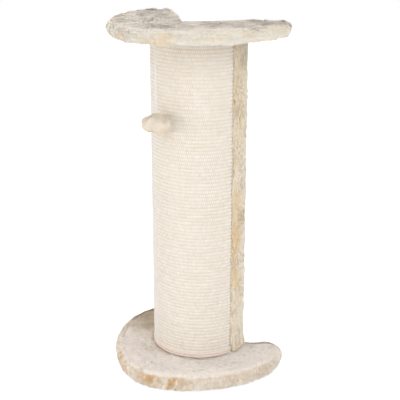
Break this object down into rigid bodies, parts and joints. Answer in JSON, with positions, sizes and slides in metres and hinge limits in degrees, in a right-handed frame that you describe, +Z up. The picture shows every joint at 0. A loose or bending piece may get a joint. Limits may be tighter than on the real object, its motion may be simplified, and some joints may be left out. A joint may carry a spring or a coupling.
{
  "type": "cat scratching post",
  "caption": "Half-round scratching post for a room corner: plush-covered notched plates, a sisal-faced column and a plush toy hanging on an elastic cord.",
  "frame": {"origin": "on the floor, under the middle of the plates' width and depth", "axes": "+Z up, -Y to the front, +Y to the wall corner that the notch takes, X across"},
  "size_m": [0.3886, 0.2894, 0.75],
  "materials": {
    "plush": "matte",
    "toy_plush": "matte",
    "lining": "matte",
    "sisal": "matte",
    "edge_tape": "matte",
    "elastic": "matte",
    "stuffing": "matte",
    "board": "matte",
    "steel": "satin"
  },
  "bodies": {
    "root": {"base_board": "board", "base_plush": "plush", "base_washer_left": "steel", "base_washer_front": "steel", "base_washer_right": "steel", "base_bolt_left": "steel", "base_bolt_front": "steel", "base_bolt_right": "steel", "insert_nut_left": "steel", "insert_nut_front": "steel", "insert_nut_right": "steel", "post_bottom_former": "board", "post_middle_former": "board", "post_top_former": "board", "post_left_back_board": "board", "post_right_back_board": "board", "post_front_shell": "board", "former_screw_bottom_left": "steel", "former_screw_bottom_right": "steel", "former_screw_middle_left": "steel", "former_screw_middle_right": "steel", "former_screw_top_left": "steel", "former_screw_top_right": "steel", "sisal_mat": "sisal", "sisal_edge_tape": "edge_tape", "post_plush": "plush", "top_board": "board", "top_plush": "plush", "top_underside_lining": "lining", "top_screw_1": "steel", "top_screw_2": "steel", "top_screw_3": "steel", "top_screw_4": "steel", "cord_staple": "steel"},
    "top_knot": {"elastic_top_knot": "elastic"},
    "cord": {"elastic_cord": "elastic"},
    "lower_knot": {"elastic_lower_knot": "elastic"},
    "toy": {"toy_plush": "toy_plush", "toy_stuffing": "stuffing"}
  },
  "joints": [
    {"name": "toy_swing_side", "type": "hinge", "parent": "root", "child": "top_knot", "pos_m": [0, -0.07786, 0.7174], "axis": [0, 1, 0], "range_deg": [-45, 45]},
    {"name": "toy_swing_out", "type": "hinge", "parent": "top_knot", "child": "cord", "pos_m": [0, -0.07786, 0.7174], "axis": [-1, 0, 0], "range_deg": [-4, 50]},
    {"name": "toy_stretch", "type": "slide", "parent": "cord", "child": "lower_knot", "axis": [0, 0, -1], "range_m": [0, 0.12], "stiffness_N_per_m": 20, "springref_m": -0.00854, "deforming": ["elastic_cord"]},
    {"name": "toy_twist", "type": "hinge", "parent": "lower_knot", "child": "toy", "pos_m": [0, -0.07786, 0.556], "axis": [0, 0, 1], "range_deg": [-180, 180]}
  ]
}
